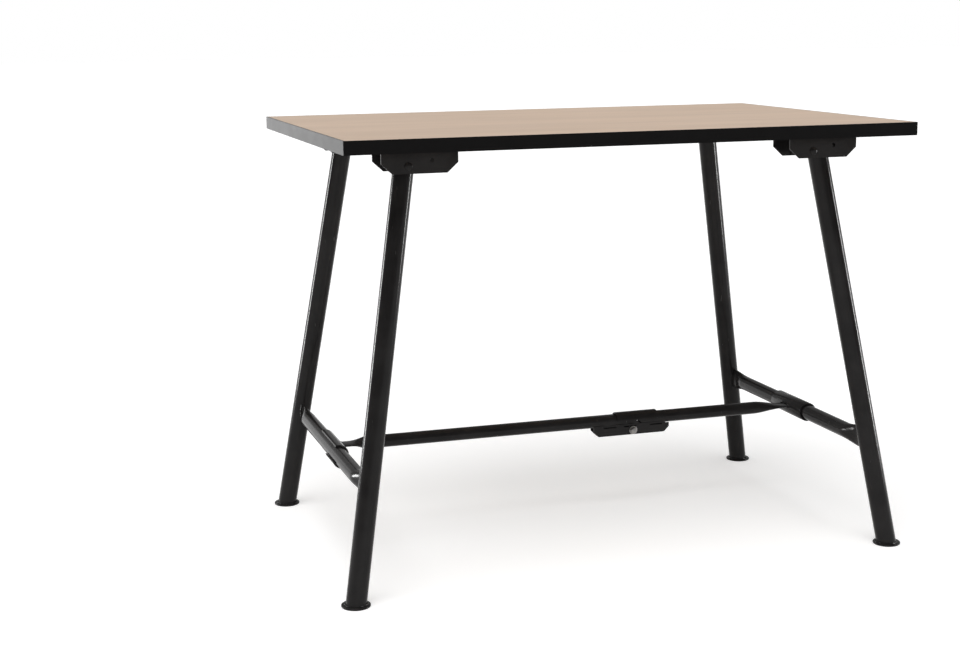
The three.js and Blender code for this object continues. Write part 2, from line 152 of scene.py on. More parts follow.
def ramp_node(tree, value, low_stop, high_stop):
    node = add_node(tree, "ShaderNodeValToRGB")
    for element, (place, colour) in zip(node.color_ramp.elements, (low_stop, high_stop)):
        element.position = place
        element.color = (colour,) * 3 + (1,) if isinstance(colour, float) else (*colour, 1)
    tree.links.new(value, node.inputs["Fac"])
    return node.outputs["Color"]


def math_node(tree, operation, *values):
    node = add_node(tree, "ShaderNodeMath", operation=operation)
    for socket, value in zip(node.inputs, values):
        if isinstance(value, (int, float)):
            socket.default_value = value
        else:
            tree.links.new(value, socket)
    return node.outputs["Value"]


def mix_colours(tree, share, first, second, blend="MIX"):
    node = add_node(tree, "ShaderNodeMix", data_type="RGBA", blend_type=blend)
    if isinstance(share, (int, float)):
        node.inputs["Factor"].default_value = share
    else:
        tree.links.new(share, node.inputs["Factor"])
    tree.links.new(first, node.inputs[MIX_FIRST])
    tree.links.new(second, node.inputs[MIX_SECOND])
    return node.outputs[MIX_RESULT]


def add_bump(tree, shader, height, strength, distance):
    bump = add_node(tree, "ShaderNodeBump")
    bump.inputs["Strength"].default_value = strength
    bump.inputs["Distance"].default_value = distance
    tree.links.new(height, bump.inputs["Height"])
    tree.links.new(bump.outputs["Normal"], shader.inputs["Normal"])


print("textures and mixing ready")

# %% [markdown]
# ## Plywood
# The panel is faced plywood: smooth and warm above, paler and knotty below. A wood
# finish could be painted by hand, but grain is only noise stretched along the board.
# The stretch follows the length of the bench. Knots come from a sparse cell pattern,
# and they bend the grain round them because they shift the noise coordinates.

# %% Plywood grain and knots
KNOTS_PER_METRE = 3.1
KNOT_STRETCH = (0.75, 1.0, 0.0)
KNOT_PICK = 0.56
KNOT_SWERVE = (0.0, 0.05, 0.0)
FIBRE_STRETCH = (2.2, 46.0, 1.0)
FIGURE_STRETCH = (1.0, 6.5, 1.0)
FLATTENED = (1.0, 1.0, 0.0)

tree, shader = start_finish("plywood")
shader.inputs["Specular IOR Level"].default_value = 0.35
cells = add_node(tree, "ShaderNodeTexVoronoi")
cells.inputs["Scale"].default_value = KNOTS_PER_METRE
tree.links.new(stretched_coords(tree, KNOT_STRETCH), cells.inputs["Vector"])
picked = math_node(tree, "GREATER_THAN", cells.outputs["Color"], KNOT_PICK)
knot_near = ramp_node(tree, cells.outputs["Distance"], (0.0, 1.0), (0.2, 0.0))
knot_pull = math_node(tree, "MULTIPLY", knot_near, picked)
grain_shift = add_node(tree, "ShaderNodeVectorMath", operation="MULTIPLY_ADD")
tree.links.new(knot_pull, grain_shift.inputs[0])
grain_shift.inputs[1].default_value = KNOT_SWERVE
tree.links.new(stretched_coords(tree, FLATTENED), grain_shift.inputs[2])
grain = grain_shift.outputs["Vector"]
fibre_coords = stretched(tree, grain, FIBRE_STRETCH)
figure_coords = stretched(tree, grain, FIGURE_STRETCH)
fibres = noise_node(tree, fibre_coords, scale=1.6, detail=6.0, roughness=0.62)
figure = noise_node(tree, figure_coords, scale=1.3, detail=2.0)
print("plywood grain: fibres, broad figure and knots")

# %% [markdown]
# The two faces of the panel differ, and the height of a point tells them apart. This is
# simpler than two materials on one mesh, and the solid's own mesh stays as it is.

# %% Plywood colours above and below
KNOT_RINGS = 170.0

above_fibre = ramp_node(tree, fibres, (0.3, (0.66, 0.495, 0.37)), (0.7, (0.745, 0.582, 0.458)))
above_figure = ramp_node(tree, figure, (0.35, 0.86), (0.65, 1.0))
above = mix_colours(tree, 0.55, above_fibre, above_figure, "MULTIPLY")
below_fibre = ramp_node(tree, fibres, (0.28, (0.53, 0.385, 0.262)), (0.66, (0.68, 0.54, 0.405)))
below_figure = ramp_node(tree, figure, (0.3, 0.86), (0.7, 1.0))
below_plain = mix_colours(tree, 0.8, below_fibre, below_figure, "MULTIPLY")
ring_phase = math_node(tree, "MULTIPLY", cells.outputs["Distance"], KNOT_RINGS)
ring_wave = math_node(tree, "SINE", ring_phase)
knot_rings = ramp_node(tree, ring_wave, (0.0, (0.33, 0.185, 0.095)), (1.0, (0.46, 0.285, 0.16)))
knot_heart = ramp_node(tree, cells.outputs["Distance"], (0.055, 1.0), (0.1, 0.0))
knot_share = math_node(tree, "MULTIPLY", knot_heart, picked)
below = mix_colours(tree, knot_share, below_plain, knot_rings)
height = add_node(tree, "ShaderNodeSeparateXYZ")
tree.links.new(stretched_coords(tree), height.inputs["Vector"])
is_above = math_node(tree, "GREATER_THAN", height.outputs["Z"], (TOP_LEVEL + UNDERSIDE) / 2)
tree.links.new(mix_colours(tree, is_above, below, above), shader.inputs["Base Color"])
face_gloss = ramp_node(tree, fibres, (0.2, 0.5), (0.8, 0.64))
tree.links.new(face_gloss, shader.inputs["Roughness"])
add_bump(tree, shader, fibres, strength=0.12, distance=0.4 * MM)
print("plywood: warm face above, pale knotty face below")

# %% [markdown]
# ## Powder coat
# The frames are sprayed with satin black powder paint and baked. Real powder coat is not
# flat: it has a fine orange-peel skin, a slow change in gloss, and pale hairline scuffs
# where tubes knock together. Each of the three is one noise at its own scale.

# %% Satin black powder coat
SCUFF_STRETCH = (260.0, 90.0, 24.0)

tree, shader = start_finish("black_paint")
shader.inputs["Specular IOR Level"].default_value = 0.12
paint_coords = stretched_coords(tree)
scuff_coords = stretched_coords(tree, SCUFF_STRETCH)
peel = noise_node(tree, paint_coords, scale=950.0, detail=1.0)
cloud = noise_node(tree, paint_coords, scale=14.0, detail=3.0)
scuff = noise_node(tree, scuff_coords, scale=1.0, detail=2.0, roughness=0.4)
paint = ramp_node(tree, cloud, (0.3, (0.0128, 0.012, 0.012)), (0.7, (0.022, 0.0207, 0.0206)))
scuff_tone = ramp_node(tree, scuff, (0.74, 0.0), (0.8, 0.035))
tree.links.new(mix_colours(tree, 1.0, paint, scuff_tone, "ADD"), shader.inputs["Base Color"])
gloss = ramp_node(tree, cloud, (0.3, 0.14), (0.7, 0.2))
scuff_gloss = ramp_node(tree, scuff, (0.72, 0.0), (0.8, 0.2))
worn_gloss = mix_colours(tree, 1.0, gloss, scuff_gloss, "ADD")
tree.links.new(worn_gloss, shader.inputs["Roughness"])
add_bump(tree, shader, peel, strength=0.1, distance=0.2 * MM)
print("powder coat: orange peel, slow gloss change and hairline scuffs")

# %% [markdown]
# ## Edging and plated parts
# The edging is extruded strip, so its fine lines run along the edge. The bracket screws
# and the lock bolt are zinc plate, which is a metal shader with a cloudy roughness and a
# slight yellow and blue drift, as plating has.

# %% Edging strip
LINE_STRETCH = (2.0, 2.0, 700.0)

tree, shader = start_finish("edging")
shader.inputs["Specular IOR Level"].default_value = 0.07
lines = noise_node(tree, stretched_coords(tree, LINE_STRETCH), scale=1.0, detail=2.0)
handling = noise_node(tree, stretched_coords(tree), scale=22.0, detail=4.0, roughness=0.6)
strip_tone = ramp_node(
    tree, handling, (0.3, (0.0045, 0.0042, 0.0042)), (0.75, (0.0065, 0.006, 0.006)))
strip_gloss = ramp_node(tree, handling, (0.25, 0.27), (0.8, 0.32))
tree.links.new(strip_tone, shader.inputs["Base Color"])
tree.links.new(strip_gloss, shader.inputs["Roughness"])
add_bump(tree, shader, lines, strength=0.06, distance=0.2 * MM)
print("edging: extrusion lines and handling marks")

# %% Zinc plate
tree, shader = start_finish("zinc")
shader.inputs["Metallic"].default_value = 1.0
plate_coords = stretched_coords(tree)
plate_cloud = noise_node(tree, plate_coords, scale=190.0, detail=3.0)
plate_grain = noise_node(tree, plate_coords, scale=2400.0, detail=1.0)
plate_tone = ramp_node(tree, plate_cloud, (0.3, (0.22, 0.215, 0.22)), (0.72, (0.31, 0.295, 0.275)))
plate_gloss = ramp_node(tree, plate_cloud, (0.25, 0.35), (0.8, 0.5))
tree.links.new(plate_tone, shader.inputs["Base Color"])
tree.links.new(plate_gloss, shader.inputs["Roughness"])
add_bump(tree, shader, plate_grain, strength=0.08, distance=0.1 * MM)
print("zinc: cloudy plate, finishes so far", sorted(finishes))

# %% [markdown]
# ## Mesh helpers
# Almost every steel piece is a skin stretched over a row of rings: a tube, a pressed
# tube end, a turned foot or a weld bead. Writing the rings in code keeps each piece
# exact against its solid, where a stretched primitive would only come close.

# %% Skins and turned forms
def skin(bm, rings, looped=False):
    rows = [[bm.verts.new(point) for point in ring] for ring in rings]
    pairs = list(zip(rows, rows[1:])) + ([(rows[-1], rows[0])] if looped else [])
    for here, there in pairs:
        for i in range(len(here)):
            j = (i + 1) % len(here)
            bm.faces.new((here[i], here[j], there[j], there[i]))
    if not looped:
        bm.faces.new(reversed(rows[0]))
        bm.faces.new(rows[-1])


def circle(sides):
    return [2 * math.pi * k / sides for k in range(sides)]


def ring_round(centre, across, beside, radius, sides):
    return [centre + (across * math.cos(a) + beside * math.sin(a)) * radius for a in circle(sides)]


def turned(bm, profile, base, axis, sides, looped=False):
    across = axis.orthogonal().normalized()
    beside = axis.cross(across)
    rings = [
        ring_round(base + axis * along, across, beside, radius, sides) for along, radius in profile]
    skin(bm, rings, looped)


def to_metres(outline):
    return [(along * MM, radius * MM) for along, radius in outline]


print("skins and turned forms ready")

# %% [markdown]
# A finished mesh becomes a piece: it takes a finish, rides on one body of the frame and
# stands in for a solid. Holes are cut with a boolean and edges are eased with a bevel.
# Both are settled into the mesh at once, so that the next cut starts from a plain mesh.

# %% Pieces, cuts and soft edges
SHARP_ANGLE = math.radians(34)
SOFT_ANGLE = math.radians(40)
SOFT_STEPS = 2


def mesh_from(bm, name):
    bmesh.ops.recalc_face_normals(bm, faces=bm.faces)
    mesh = bpy.data.meshes.new(name)
    bm.to_mesh(mesh)
    bm.free()
    return mesh


def shade(mesh):
    mesh.shade_smooth()
    mesh.set_sharp_from_angle(angle=SHARP_ANGLE)


def set_down(name, mesh, body, slot, *solids):
    piece = bpy.data.objects.new(name, mesh)
    bpy.context.scene.collection.objects.link(piece)
    mesh.materials.append(finishes[slot])
    shade(mesh)
    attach(piece, body)
    if solids:
        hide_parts(*solids)
    return piece


def settle(piece):
    graph = bpy.context.evaluated_depsgraph_get()
    mesh = bpy.data.meshes.new_from_object(piece.evaluated_get(graph))
    piece.modifiers.clear()
    piece.data = mesh


def cut_away(piece, cutter):
    tool = bpy.data.objects.new("cutter", mesh_from(cutter, "cutter"))
    bpy.context.scene.collection.objects.link(tool)
    step = piece.modifiers.new("cut", "BOOLEAN")
    step.operation = "DIFFERENCE"
    step.solver = "EXACT"
    step.object = tool
    settle(piece)
    shade(piece.data)
    bpy.data.objects.remove(tool)


def soften(piece, width):
    step = piece.modifiers.new("soft edges", "BEVEL")
    step.width = width
    step.segments = SOFT_STEPS
    step.limit_method = "ANGLE"
    step.angle_limit = SOFT_ANGLE
    step.harden_normals = True
    settle(piece)


print("pieces can be set down, cut and softened")

# %% [markdown]
# ## The top
# The panel and its edging already have their true shape as solids, so they only take
# their finishes. A bevel modifier breaks the sharp arrises of the edging strip, as the
# trimmer does on a real bench, and gives the corner a thin line of light.

# %% Finish the panel and edging
ARRIS = 1.4 * MM
ARRIS_STEPS = 3

panel = frame["nodes"]["top_panel"]
panel.data.materials.clear()
panel.data.materials.append(finishes["plywood"])
for side in ("front", "back", "left", "right"):
    strip = frame["nodes"][f"{side}_edging"]
    strip.data.materials.clear()
    strip.data.materials.append(finishes["edging"])
    arris = strip.modifiers.new("arris", "BEVEL")
    arris.width = ARRIS
    arris.segments = ARRIS_STEPS
print("top: one panel, four edging strips")

# %% [markdown]
# ## Legs
# A leg is a plain round tube, leaning two ways, with both ends cut level. A ring that
# is square to the tube would leave a slanted end, so each ring's points slide along
# the tube until they reach the cutting height.

# %% Leg tubes
LEG_SIDES = 64
LEG_STEPS = 12
LEG_BOTTOM = 4.3 * MM
LEG_TOP = 860.7 * MM


def level_ring(end, row, height, radius, sides=LEG_SIDES):
    centre = leg_centre(end, row, height)
    along = leg_along(end, row)
    across = along.orthogonal().normalized()
    beside = along.cross(across)
    ring = []
    for a in circle(sides):
        arm = (across * math.cos(a) + beside * math.sin(a)) * radius
        ring.append(centre + arm - along * (arm.z / along.z))
    return ring


heights = [LEG_BOTTOM + (LEG_TOP - LEG_BOTTOM) * k / LEG_STEPS for k in range(LEG_STEPS + 1)]
for end in ENDS:
    for row in ROWS:
        bm = bmesh.new()
        skin(bm, [level_ring(end, row, z, LEG_RADIUS) for z in heights])
        solid = f"{end}_{row}_leg"
        set_down(solid + "_tube", mesh_from(bm, solid), f"{end}_leg_frame", "black_paint", solid)
print("legs: four tubes of", LEG_SIDES, "sides")

# %% [markdown]
# ## Weld beads
# Where one tube ends on another there is a weld. A bead is a thin worm of metal whose
# width ripples as the torch moves on, so it is a small ring swept along the seam with
# its radius rising and falling. The seam itself is worked out, not drawn.

# %% Weld bead helper
BEAD_SIDES = 8
SEAM_SIDES = 150
RIPPLE_PITCH = 2.6 * MM
RIPPLE_DEPTH = 0.16


def weld_bead(bm, seam, facing, radius, closed=True):
    rings = []
    run = 0.0
    for k, point in enumerate(seam):
        if closed:
            behind, ahead = seam[k - 1], seam[(k + 1) % len(seam)]
        else:
            behind, ahead = seam[max(k - 1, 0)], seam[min(k + 1, len(seam) - 1)]
        along = (ahead - behind).normalized()
        across = facing.cross(along).normalized()
        lift = along.cross(across)
        run += (ahead - behind).length / 2
        swell = radius * (1 + RIPPLE_DEPTH * math.sin(2 * math.pi * run / RIPPLE_PITCH))
        if not closed and k in (0, len(seam) - 1):
            swell = radius / 2
        rings.append(ring_round(point, across, lift, swell, BEAD_SIDES))
    skin(bm, rings, looped=closed)


print("weld beads ripple every", RIPPLE_PITCH / MM, "mm")

# %% [markdown]
# ## Feet
# Each leg stands on a round steel plate that is welded to its end. The plate's outline is
# turned about an upright axis, like a pot on a wheel, with its edges broken. The weld
# fills the corner between plate and tube, so its seam is a level ring round the leg.

# %% Round foot plates and their welds
FOOT_OUTLINE = [
    (0.0, 28.3), (0.3, 28.9), (0.9, 29.25), (2.9, 29.25), (3.6, 28.9), (4.0, 28.2), (4.1, 23.0)]
FOOT_SIDES = 64
FOOT_SEAM_LEVEL = 4.6 * MM
FOOT_SEAM_RADIUS = LEG_RADIUS + 0.5 * MM
FOOT_BEAD = 1.7 * MM

for end in ENDS:
    for row in ROWS:
        bm = bmesh.new()
        turned(bm, to_metres(FOOT_OUTLINE), leg_centre(end, row, 0), UPRIGHT, FOOT_SIDES)
        seam = level_ring(end, row, FOOT_SEAM_LEVEL, FOOT_SEAM_RADIUS, SEAM_SIDES)
        weld_bead(bm, seam, UPRIGHT, FOOT_BEAD)
        solid = f"{end}_{row}_foot"
        set_down(solid + "_plate", mesh_from(bm, solid), f"{end}_leg_frame", "black_paint", solid)
print("feet: four plates, outline of", len(FOOT_OUTLINE), "points")

# %% [markdown]
# ## Cross bars
# The bar between two legs is round in the middle and pressed to an upright blade at
# each end. The rings go from a tall thin oval to a circle with an eased blend. The last
# ring of points is pushed along the bar until it touches the leg. The leg is a round
# tube, so how far each point goes is the root of a quadratic. The weld bead follows a
# slightly larger ring that is found in the same way.

# %% Helpers for pressed tubes
BLEND_STEPS = 12
BAR_SIDES = 48


def eased(share):
    return share * share * (3 - 2 * share)


def on_leg(end, row, x, z):
    along = leg_along(end, row)
    start = Vector((x, 0, z)) - leg_centre(end, row, UNDERSIDE)
    a = 1 - along.y ** 2
    b = 2 * (start.y - start.dot(along) * along.y)
    c = start.dot(start) - start.dot(along) ** 2 - LEG_RADIUS ** 2
    root = math.sqrt(b * b - 4 * a * c)
    return min(((-b - root) / (2 * a), (-b + root) / (2 * a)), key=abs)


def pressed(flat, radius, share):
    return [half + (radius - half) * eased(share) for half in flat]


def bar_oval(end, wide, tall, sides=BAR_SIDES):
    return [(bar[end].x + wide * math.cos(a), bar[end].z + tall * math.sin(a)) for a in circle(sides)]


def blade_seam(end, row, points):
    return [Vector((x, on_leg(end, row, x, z), z)) for x, z in points]


print("pressed ends blend in", BLEND_STEPS, "steps")

# %% Cross bars with pressed ends
BAR_RADIUS = 17 * MM
BLADE_HALF = (4.5 * MM, 23 * MM)
BLADE_FLAT = 39 * MM
BLADE_TAPER = 55 * MM

for end in ENDS:
    reach = abs(leg_centre(end, "back", bar[end].z).y)
    half = [blade_seam(end, "back", bar_oval(end, *BLADE_HALF))]
    for k in range(BLEND_STEPS + 1):
        y = reach - BLADE_FLAT - BLADE_TAPER * k / BLEND_STEPS
        oval = bar_oval(end, *pressed(BLADE_HALF, BAR_RADIUS, k / BLEND_STEPS))
        half.append([Vector((x, y, z)) for x, z in oval])
    mirrored = [[Vector((p.x, -p.y, p.z)) for p in ring] for ring in half]
    bm = bmesh.new()
    skin(bm, half + mirrored[::-1])
    solid = f"{end}_cross_bar"
    set_down(solid + "_tube", mesh_from(bm, solid), f"{end}_leg_frame", "black_paint", solid)
    print(end, "cross bar reaches", round(reach, 4))

# %% Welds between bars and legs
BAR_SEAM_HALF = (5.2 * MM, 23.6 * MM)
BAR_BEAD = 1.9 * MM

for end in ENDS:
    for row in ROWS:
        oval = bar_oval(end, *BAR_SEAM_HALF, SEAM_SIDES)
        bm = bmesh.new()
        weld_bead(bm, blade_seam(end, row, oval), DEPTHWISE, BAR_BEAD)
        name = f"{end}_{row}_bar_weld"
        set_down(name, mesh_from(bm, name), f"{end}_leg_frame", "black_paint")
print("bar welds: four")

# %% [markdown]
# ## Folded steel
# Brackets, hinge shoes and the brace cradle are all flat plate folded to a U on a press
# brake, which leaves a round bend at each corner. A box with a pocket would have square
# corners, so the U is drawn as a profile with two arcs and pulled along the bench.
# Cut corners, holes and slots are then taken out with a boolean, as a punch would.

# %% Folded channel helper
BEND_STEPS = 7
PIN_SIDES = 32


def fold_path(half_width, face_level, lip_level, bend, turn):
    points = [(-half_width, lip_level)]
    for corner in (-1, 1):
        centre = (corner * (half_width - bend), face_level + turn * bend)
        for k in range(BEND_STEPS + 1):
            swing = math.pi / 2 * k / BEND_STEPS
            a = swing if corner < 0 else math.pi / 2 - swing
            points.append((
                centre[0] + corner * bend * math.cos(a), centre[1] - turn * bend * math.sin(a)))
    points.append((half_width, lip_level))
    return points


def folded_channel(low_x, high_x, centre_y, half_width, face_level, lip_level, plate, bend):
    turn = 1 if lip_level > face_level else -1
    outer = fold_path(half_width, face_level, lip_level, bend, turn)
    inner = fold_path(half_width - plate, face_level + turn * plate, lip_level, bend - plate, turn)
    profile = outer + inner[::-1]
    bm = bmesh.new()
    skin(bm, [[Vector((x, centre_y + y, z)) for y, z in profile] for x in (low_x, high_x)])
    return bm


def add_prism(bm, outline, low_y, high_y):
    skin(bm, [[Vector((x, y, z)) for x, z in outline] for y in (low_y, high_y)])


def add_pin(bm, x, z, low_y, high_y, radius):
    ends = [(0, radius), (high_y - low_y, radius)]
    turned(bm, ends, Vector((x, low_y, z)), DEPTHWISE, PIN_SIDES)


def box_outline(low_x, high_x, low_z, high_z):
    return [(low_x, low_z), (high_x, low_z), (high_x, high_z), (low_x, high_z)]


print("folded channel: bends of", BEND_STEPS, "steps")

# %% [markdown]
# ## Hinge brackets
# Each leg hangs from a bracket under the top. The lower corners of its cheeks are cut
# off, the pivot hole goes through both cheeks, and a spare hole sits beside it.

# %% Brackets under the top
BRACKET_PLATE = 3 * MM
BRACKET_BEND = 5 * MM
CORNER_LONG = 22 * MM
CORNER_TALL = 20 * MM
PIVOT_HOLE = 5.3 * MM
SPARE_HOLE = 4 * MM
SPARE_FROM_PIVOT = 47 * MM
SPARE_LEVEL = UNDERSIDE - 22 * MM
PLATE_EDGE = 0.5 * MM
OVERCUT = 6 * MM
corner_slope = CORNER_TALL / CORNER_LONG

for end in ENDS:
    for row in ROWS:
        solid = f"{end}_{row}_bracket"
        low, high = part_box(solid)
        bm = folded_channel(low.x, high.x, (low.y + high.y) / 2, (high.y - low.y) / 2,
                            high.z, low.z, BRACKET_PLATE, BRACKET_BEND)
        piece = set_down(solid + "_channel", mesh_from(bm, solid), "bench_top", "black_paint", solid)
        cutter = bmesh.new()
        low_y, high_y = low.y - OVERCUT, high.y + OVERCUT
        for corner_x, inward in ((low.x, 1), (high.x, -1)):
            outside = corner_x - inward * OVERCUT
            add_prism(cutter, [
                (outside, low.z + CORNER_TALL + OVERCUT * corner_slope),
                (outside, low.z - OVERCUT),
                (corner_x + inward * (CORNER_LONG + OVERCUT / corner_slope), low.z - OVERCUT),
            ], low_y, high_y)
        add_pin(cutter, pivot[end].x, pivot[end].z, low_y, high_y, PIVOT_HOLE)
        add_pin(cutter, pivot[end].x + SPARE_FROM_PIVOT, SPARE_LEVEL, low_y, high_y, SPARE_HOLE)
        cut_away(piece, cutter)
        soften(piece, PLATE_EDGE)
print("brackets: four")

# %% [markdown]
# ## Hinge shoes
# Inside each bracket a smaller folded shoe is welded to the end of the leg. Its two
# ears turn on the pivot bolt, and a weld runs round the tube under its plate.

# %% Hinge shoes and their welds
SHOE_PLATE = 4 * MM
SHOE_BEND = 6 * MM
SHOE_SEAM_LEVEL = LEG_TOP - 1.2 * MM
SHOE_SEAM_RADIUS = LEG_RADIUS + 0.8 * MM
SHOE_BEAD = 2 * MM

for end in ENDS:
    for row in ROWS:
        solid = f"{end}_{row}_hinge_shoe"
        low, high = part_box(solid)
        centre_y = (low.y + high.y) / 2
        bm = folded_channel(low.x, high.x, centre_y, (high.y - low.y) / 2,
                            high.z, low.z, SHOE_PLATE, SHOE_BEND)
        piece = set_down(
            solid + "_channel", mesh_from(bm, solid), f"{end}_leg_frame", "black_paint", solid)
        cutter = bmesh.new()
        add_pin(cutter, pivot[end].x, pivot[end].z, low.y - OVERCUT, high.y + OVERCUT, PIVOT_HOLE)
        cut_away(piece, cutter)
        soften(piece, PLATE_EDGE)
        seam = level_ring(end, row, SHOE_SEAM_LEVEL, SHOE_SEAM_RADIUS, SEAM_SIDES)
        bm = bmesh.new()
        weld_bead(bm, seam, UPRIGHT, SHOE_BEAD)
        name = f"{end}_{row}_shoe_weld"
        set_down(name, mesh_from(bm, name), f"{end}_leg_frame", "black_paint")
print("hinge shoes: four, each with a weld ring")

# %% [markdown]
# ## Bolts, nuts and screws
# A nut is a hexagon whose corners are turned off to a cone. It is therefore a fan of
# points: each stands on the hexagon, and its height is where the cone meets it, which
# gives the curved chamfer of a real nut. The pivot bolts have low round heads, so each
# is one turned outline. The screws are pan heads with a cross recess, made once and copied.

# %% Hexagon and nut helpers
HEX_SIDES = 72
CROWN_SLOPE = 0.577
CROWN_SHARE = 0.95


def hexagon_reach(a, across):
    return across / 2 / math.cos((a + math.pi / 6) % (math.pi / 3) - math.pi / 6)


def hexagon_rings(base, way, across, thick):
    beside = way.cross(UPRIGHT)
    flat = across / 2 * CROWN_SHARE

    def ring(reach, level):
        return [
            base + way * level(a) + (UPRIGHT * math.cos(a) + beside * math.sin(a)) * reach(a)
            for a in circle(HEX_SIDES)]

    def hexagon(a):
        return hexagon_reach(a, across)

    def shoulder(a):
        return thick - (hexagon(a) - flat) * CROWN_SLOPE

    return [
        ring(hexagon, lambda a: 0.0), ring(hexagon, shoulder),
        ring(lambda a: flat, lambda a: thick)]


def bored_nut(bm, seat, way, across, thick, hole):
    rings = hexagon_rings(seat, way, across, thick)
    beside = way.cross(UPRIGHT)
    for level, radius in to_metres(hole):
        rings.append(ring_round(seat + way * level, UPRIGHT, beside, radius, HEX_SIDES))
    skin(bm, rings, looped=True)


print("hexagons of", HEX_SIDES, "points")

# %% Pivot bolts and nuts
BOLT_SIDES = 32
BOLT_RADIUS = 5 * MM
BOLT_TIP = 3.9 * MM
TIP_LENGTH = 1 * MM
PAST_CHEEK = 12 * MM
ROUND_HEAD = [(0.0, 8.0), (1.2, 8.0), (1.8, 7.6), (2.4, 6.5), (2.8, 4.8), (3.0, 2.4)]
NUT_ACROSS = 16 * MM
NUT_THICK = 8 * MM
NUT_HOLE = [(8.0, 5.9), (7.4, 5.2), (0.0, 5.2)]
FIT = 0.3 * MM

bracket_low, bracket_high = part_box("left_back_bracket")
row_y = {row: ROWS[row] * (bracket_low.y + bracket_high.y) / 2 for row in ROWS}
CHEEK_FACE = (bracket_high.y - bracket_low.y) / 2 + FIT
inner_end = -CHEEK_FACE - PAST_CHEEK
bolt_outline = [
    (inner_end, BOLT_TIP), (inner_end + TIP_LENGTH, BOLT_RADIUS), (CHEEK_FACE, BOLT_RADIUS)]
bolt_outline += [(CHEEK_FACE + along, radius) for along, radius in to_metres(ROUND_HEAD)]
for end in ENDS:
    for row in ROWS:
        out = DEPTHWISE * ROWS[row]
        centre = Vector((pivot[end].x, row_y[row], pivot[end].z))
        bm = bmesh.new()
        turned(bm, bolt_outline, centre, out, BOLT_SIDES)
        solid = f"{end}_{row}_pivot_bolt"
        set_down(solid + "_round", mesh_from(bm, solid), "bench_top", "black_paint", solid)
        bm = bmesh.new()
        bored_nut(bm, centre - out * CHEEK_FACE, -out, NUT_ACROSS, NUT_THICK, NUT_HOLE)
        solid = f"{end}_{row}_pivot_nut"
        set_down(solid + "_hex", mesh_from(bm, solid), "bench_top", "black_paint", solid)
print("pivot bolts and nuts: four of each")

# %% Bracket screws with a cross recess
SCREW_OUTLINE = [
    (-20.0, 1.2), (-18.5, 2.1), (0.0, 2.1), (0.0, 5.4), (0.4, 5.5),
    (1.1, 5.3), (1.8, 4.6), (2.3, 3.4), (2.6, 1.6)]
RECESS_HALF = 0.55 * MM
RECESS_REACH = 2.6 * MM
RECESS_FLOOR = -0.9 * MM
RECESS_MOUTH = -3.2 * MM
RECESS_TAPER = 0.5

bm = bmesh.new()
turned(bm, to_metres(SCREW_OUTLINE), Vector(), -UPRIGHT, BOLT_SIDES)
first_screw = bpy.data.objects.new("first_screw", mesh_from(bm, "pan_head_screw"))
bpy.context.scene.collection.objects.link(first_screw)
first_screw.data.materials.append(finishes["zinc"])
for reach_x, reach_y in ((RECESS_REACH, RECESS_HALF), (RECESS_HALF, RECESS_REACH)):
    wide = [(-reach_x, -reach_y), (reach_x, -reach_y), (reach_x, reach_y), (-reach_x, reach_y)]
    cutter = bmesh.new()
    skin(cutter, [
        [Vector((x * RECESS_TAPER, y * RECESS_TAPER, RECESS_FLOOR)) for x, y in wide],
        [Vector((x, y, RECESS_MOUTH)) for x, y in wide]])
    cut_away(first_screw, cutter)
screw_mesh = first_screw.data
bpy.data.objects.remove(first_screw)
print("pan head screw:", len(screw_mesh.polygons), "faces")

# %% Set the screws under the brackets
SCREWS_EACH = 4
SCREW_TURN = 0.7

for end in ENDS:
    for row in ROWS:
        for k in range(1, SCREWS_EACH + 1):
            solid = f"{end}_{row}_bracket_screw_{k}"
            low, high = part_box(solid)
            centre = (low + high) / 2
            piece = bpy.data.objects.new(solid + "_pan_head", screw_mesh.copy())
            piece.data.name = solid
            bpy.context.scene.collection.objects.link(piece)
            piece.location = (centre.x, centre.y, UNDERSIDE - BRACKET_PLATE - FIT)
            piece.rotation_euler.z = SCREW_TURN * k + len(solid)
            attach(piece, "bench_top")
            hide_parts(solid)
print("bracket screws: sixteen")

# %% [markdown]
# ## Brace sleeve and hook
# The right half of the brace turns on its cross bar in a whole sleeve: a turned ring with
# broken edges, whose profile is a closed loop round the wall. The left half only hooks
# round its bar, with a jaw that is open to the outside and a heel that runs on under the
# bar. Both are the same wall, so the hook is turned whole and then cut with three blocks.

# %% Sleeve on the right bar
SLEEVE_HALF = 70 * MM
SLEEVE_BORE = 17.5 * MM
SLEEVE_RADIUS = 21.2 * MM
SLEEVE_SIDES = 64
RIM = 0.9 * MM
RIM_EASE = 0.3 * RIM

wall_end = [(0.0, SLEEVE_BORE + RIM), (0.0, SLEEVE_RADIUS - RIM),
            (RIM_EASE, SLEEVE_RADIUS - RIM_EASE), (RIM, SLEEVE_RADIUS)]
profile = [(along - SLEEVE_HALF, radius) for along, radius in wall_end]
profile += [(SLEEVE_HALF - along, radius) for along, radius in reversed(wall_end)]
profile += [(SLEEVE_HALF - RIM, SLEEVE_BORE), (RIM - SLEEVE_HALF, SLEEVE_BORE)]
bm = bmesh.new()
turned(bm, profile, bar["right"], DEPTHWISE, SLEEVE_SIDES, looped=True)
sleeve_mesh = mesh_from(bm, "sleeve")
set_down("right_brace_sleeve_ring", sleeve_mesh, "right_brace", "black_paint", "right_brace_sleeve")
print("sleeve:", 2 * SLEEVE_HALF / MM, "mm long")

# %% Hook on the left bar
HOOK_SKIRT = 7 * MM
HOOK_SIDES = 96
HOOK_EDGE = 0.7 * MM
HEEL_START = 27 * MM
HEEL_END = 105 * MM
HEEL_DROP = 6 * MM

